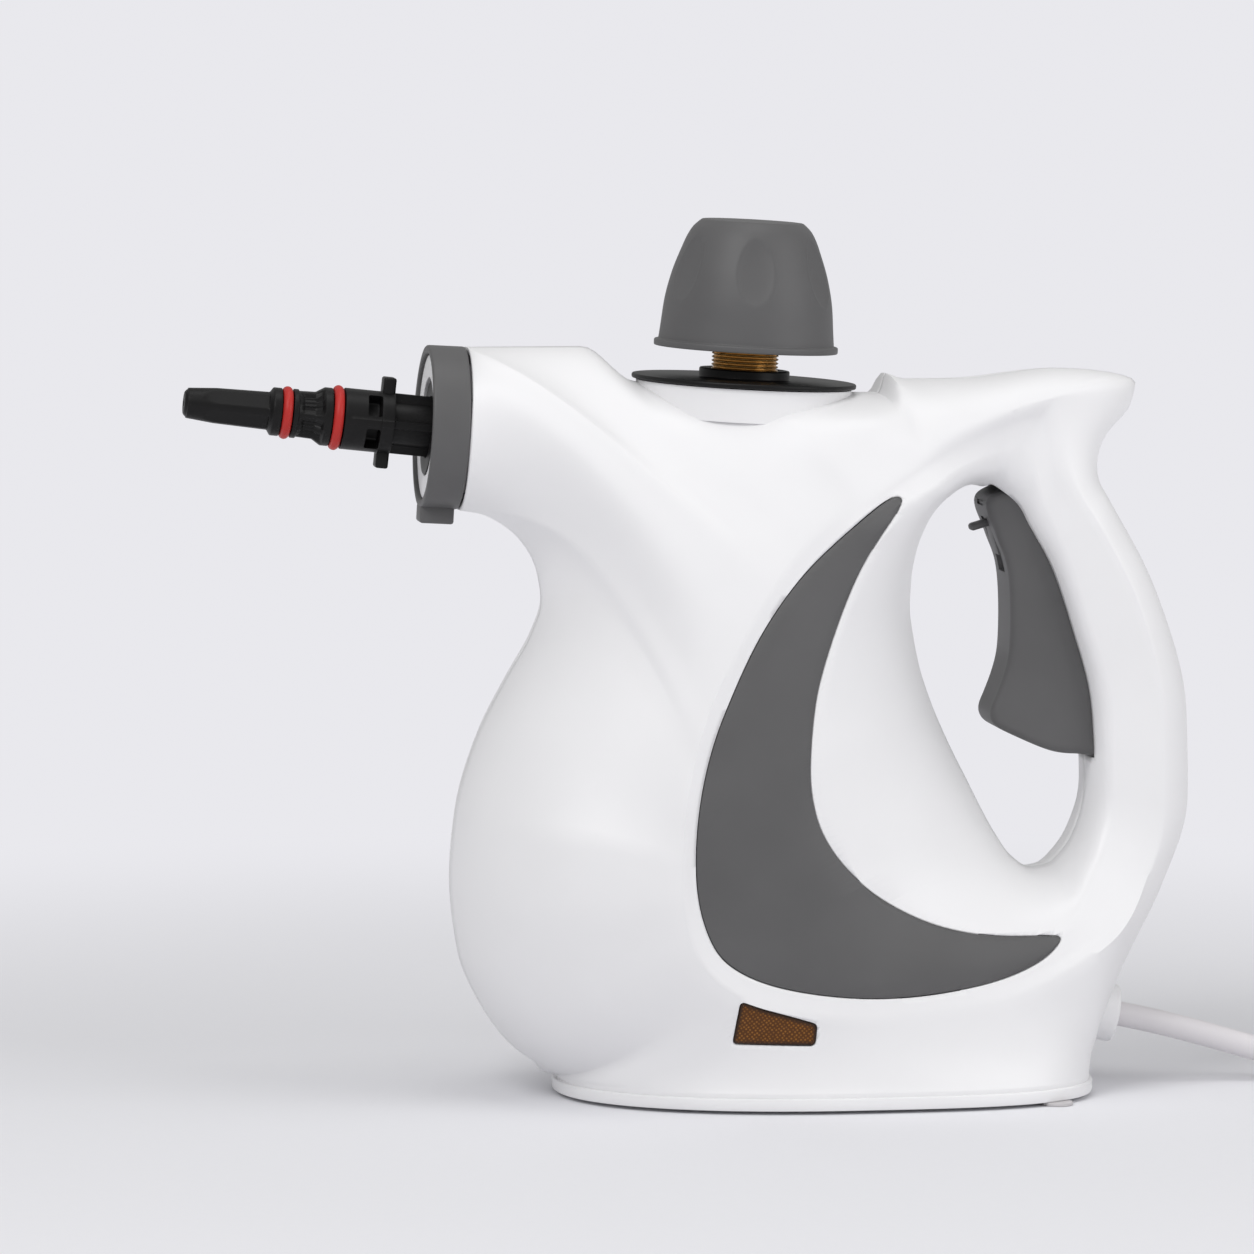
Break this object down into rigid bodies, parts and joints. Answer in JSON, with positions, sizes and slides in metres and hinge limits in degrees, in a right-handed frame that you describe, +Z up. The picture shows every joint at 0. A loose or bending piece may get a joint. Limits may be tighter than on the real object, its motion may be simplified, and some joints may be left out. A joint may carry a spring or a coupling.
{
  "type": "handheld steam cleaner",
  "caption": "Handheld steam cleaner with a loop handle and trigger, a screw safety cap over its boiler, a short nozzle and a mains cord with plug.",
  "frame": {"origin": "centre of the cleaner's footprint box on the floor, measured without the cord's free nodes", "axes": "+Z up, +X from the nozzle to the handle, +Y to the far side as the picture shows it; the housing halves meet on the XZ plane"},
  "size_m": [0.4709, 0.1086, 0.2324],
  "materials": {
    "white_plastic": "smooth moulded shell, satin gloss",
    "grey_plastic": "fine satin",
    "black_plastic": "smooth",
    "amber_lens": "clear amber",
    "lamp_glass": "small neon tube",
    "red_rubber": "silicone",
    "black_rubber": "matte",
    "brass": "machined",
    "steel": "plated wire and screws",
    "aluminium": "cast",
    "cord_white": "smooth PVC sheath"
  },
  "bodies": {
    "body": {"base_plate": "white_plastic", "bezel_face": "white_plastic", "bezel_ring": "grey_plastic", "boiler_base": "aluminium", "boiler_bolt_1": "steel", "boiler_bolt_2": "steel", "boiler_bolt_3": "steel", "boiler_bolt_4": "steel", "boiler_cover": "aluminium", "boiler_gasket": "black_rubber", "cord": "cord_white", "cord_bush": "white_plastic", "cord_clamp": "grey_plastic", "cord_coil": "cord_white", "crescent_panel_left": "grey_plastic", "crescent_panel_right": "grey_plastic", "filler_funnel": "black_plastic", "foot_front_left": "black_rubber", "foot_front_right": "black_rubber", "foot_rear_left": "black_rubber", "foot_rear_right": "black_rubber", "heating_element": "steel", "housing_screw_1": "steel", "housing_screw_2": "steel", "housing_screw_3": "steel", "housing_screw_4": "steel", "housing_screw_5": "steel", "housing_screw_6": "steel", "inlet_pipe": "brass", "lamp_lens": "amber_lens", "left_housing": "white_plastic", "neon_lamp": "lamp_glass", "nozzle_socket": "black_plastic", "o_ring_front": "red_rubber", "o_ring_rear": "red_rubber", "plug_body": "cord_white", "plug_pin_1": "steel", "plug_pin_2": "steel", "right_housing": "white_plastic", "steam_nozzle": "black_plastic", "steam_pipe": "brass", "steam_valve_body": "brass", "terminal_block": "white_plastic", "thermal_fuse": "steel", "thermostat": "steel", "trigger_pin": "steel", "valve_spring": "steel"},
    "cap_lift": {"cap_gasket": "black_rubber"},
    "cap": {"cap_shell": "grey_plastic", "cap_plug": "brass", "relief_spring": "steel"},
    "relief_valve": {"relief_poppet": "brass"},
    "trigger": {"trigger": "grey_plastic", "trigger_spring": "steel"},
    "lock": {"trigger_lock": "grey_plastic"},
    "valve_push": {"push_rod": "steel", "valve_stem": "steel"}
  },
  "joints": [
    {"name": "cap_rise", "type": "slide", "parent": "body", "child": "cap_lift", "axis": [0.0558, 0, 0.9984], "range_m": [-0.00675, 0.003]},
    {"name": "cap_turn", "type": "hinge", "parent": "cap_lift", "child": "cap", "pos_m": [0.01464, 0, 0.18876], "axis": [0.0558, 0, 0.9984], "range_deg": [-1620, 720]},
    {"name": "relief_lift", "type": "slide", "parent": "cap", "child": "relief_valve", "axis": [0.0558, 0, 0.9984], "range_m": [0, 0.0015], "stiffness_N_per_m": 1000, "springref_m": -0.012},
    {"name": "trigger_pull", "type": "hinge", "parent": "body", "child": "trigger", "pos_m": [0.08751, 0, 0.16532], "axis": [0, -1, 0], "range_deg": [0, 8], "stiffness_Nm_per_rad": 0.8, "springref_deg": -8.59},
    {"name": "lock_slide", "type": "slide", "parent": "trigger", "child": "lock", "axis": [0.2774, 0, -0.9607], "range_m": [0, 0.0044]},
    {"name": "valve_open", "type": "slide", "parent": "body", "child": "valve_push", "axis": [-0.9942, 0, 0.108], "range_m": [0, 0.0012]}
  ],
  "couplings": [
    {"joint": "cap_turn", "follows": "cap_rise", "rad_per_m": 4188.8},
    {"joint": "valve_open", "follows": "trigger_pull", "m_per_rad": 0.0085}
  ]
}
